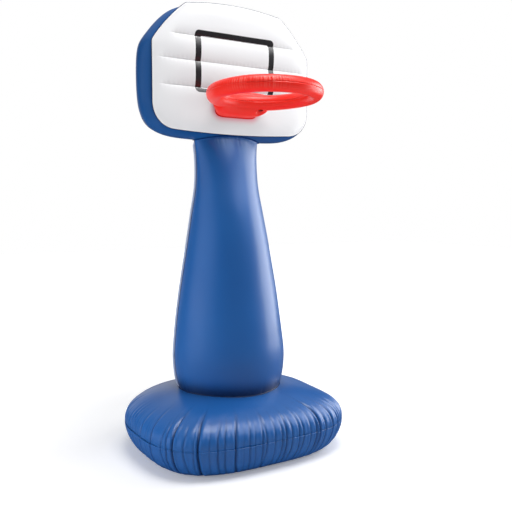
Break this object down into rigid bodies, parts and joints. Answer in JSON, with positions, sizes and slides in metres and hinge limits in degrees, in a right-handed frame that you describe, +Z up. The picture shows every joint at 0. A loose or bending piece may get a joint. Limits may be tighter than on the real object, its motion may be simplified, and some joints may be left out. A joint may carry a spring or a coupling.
{
  "type": "inflatable basketball hoop",
  "caption": "Free-standing inflatable basketball hoop with a ballast base, tapering column, channelled board and horizontal ring, welded from plastic sheet.",
  "frame": {"origin": "on the floor, under the axis of the column", "axes": "+Z up, -Y towards the side that the ring is on, +X to the right of a player who faces the board, so that the plane X = 0 is the plane of symmetry"},
  "size_m": [1.0216, 1.0199, 2.089],
  "materials": {
    "blue_sheet": "gloss",
    "white_sheet": "satin",
    "red_sheet": "gloss",
    "clear_grey_plastic": "satin",
    "dark_red_plastic": "gloss"
  },
  "bodies": {
    "hoop_body": {"base_top_panel": "blue_sheet", "base_bottom_panel": "blue_sheet", "ballast_divider": "clear_grey_plastic", "ballast_filler_sleeve": "clear_grey_plastic", "ballast_filler_neck": "clear_grey_plastic", "column_front_panel": "blue_sheet", "column_back_panel": "blue_sheet", "board_front_panel": "white_sheet", "board_side_wall": "blue_sheet", "board_back_panel": "blue_sheet", "board_web_lower": "clear_grey_plastic", "board_web_middle": "clear_grey_plastic", "board_web_upper": "clear_grey_plastic", "ring_upper_panel": "red_sheet", "ring_lower_panel": "red_sheet", "ring_mount_collar": "red_sheet", "base_valve_seat": "clear_grey_plastic", "column_valve_seat": "clear_grey_plastic", "ring_valve_seat": "dark_red_plastic"},
    "base_valve_stem_body": {"base_valve_stem": "clear_grey_plastic"},
    "base_valve_plug_body": {"base_valve_plug": "clear_grey_plastic"},
    "base_valve_flap_body": {"base_valve_flap": "clear_grey_plastic"},
    "column_valve_stem_body": {"column_valve_stem": "clear_grey_plastic"},
    "column_valve_plug_body": {"column_valve_plug": "clear_grey_plastic"},
    "column_valve_flap_body": {"column_valve_flap": "clear_grey_plastic"},
    "ring_valve_stem_body": {"ring_valve_stem": "dark_red_plastic"},
    "ring_valve_plug_body": {"ring_valve_plug": "dark_red_plastic"},
    "ring_valve_flap_body": {"ring_valve_flap": "dark_red_plastic"},
    "ballast_cap_body": {"ballast_filler_cap": "clear_grey_plastic"}
  },
  "joints": [
    {"name": "base_valve_stem_slide", "type": "slide", "parent": "hoop_body", "child": "base_valve_stem_body", "axis": [-0.1181, 0.4455, 0.8875], "range_m": [0, 0.008]},
    {"name": "base_valve_plug_hinge", "type": "hinge", "parent": "base_valve_stem_body", "child": "base_valve_plug_body", "pos_m": [-0.16655, 0.31052, 0.2524], "axis": [0.9666, 0.2562, 0], "range_deg": [0, 150]},
    {"name": "base_valve_flap_hinge", "type": "hinge", "parent": "base_valve_stem_body", "child": "base_valve_flap_body", "pos_m": [-0.16658, 0.31062, 0.22136], "axis": [0.9666, 0.2562, 0], "range_deg": [0, 60], "stiffness_Nm_per_rad": 0.0002, "springref_deg": -17.19},
    {"name": "column_valve_stem_slide", "type": "slide", "parent": "hoop_body", "child": "column_valve_stem_body", "axis": [0, 0.9976, 0.0697], "range_m": [0, 0.008]},
    {"name": "column_valve_plug_hinge", "type": "hinge", "parent": "column_valve_stem_body", "child": "column_valve_plug_body", "pos_m": [0, 0.25254, 0.56508], "axis": [1, 0, 0], "range_deg": [0, 150]},
    {"name": "column_valve_flap_hinge", "type": "hinge", "parent": "column_valve_stem_body", "child": "column_valve_flap_body", "pos_m": [0, 0.22611, 0.5488], "axis": [1, 0, 0], "range_deg": [0, 60], "stiffness_Nm_per_rad": 0.0002, "springref_deg": -17.19},
    {"name": "ring_valve_stem_slide", "type": "slide", "parent": "hoop_body", "child": "ring_valve_stem_body", "axis": [0, -0.0297, -0.9996], "range_m": [0, 0.008]},
    {"name": "ring_valve_plug_hinge", "type": "hinge", "parent": "ring_valve_stem_body", "child": "ring_valve_plug_body", "pos_m": [0.09258, -0.16643, 1.60061], "axis": [-0.8988, 0.4382, -0.013], "range_deg": [0, 150]},
    {"name": "ring_valve_flap_hinge", "type": "hinge", "parent": "ring_valve_stem_body", "child": "ring_valve_flap_body", "pos_m": [0.0989, -0.15268, 1.62771], "axis": [-0.8988, 0.4382, -0.013], "range_deg": [0, 60], "stiffness_Nm_per_rad": 0.0002, "springref_deg": -17.19},
    {"name": "ballast_cap_hinge", "type": "hinge", "parent": "hoop_body", "child": "ballast_cap_body", "pos_m": [0.16382, 0.30022, 0.25727], "axis": [0.9666, -0.2562, 0], "range_deg": [0, 150]}
  ]
}
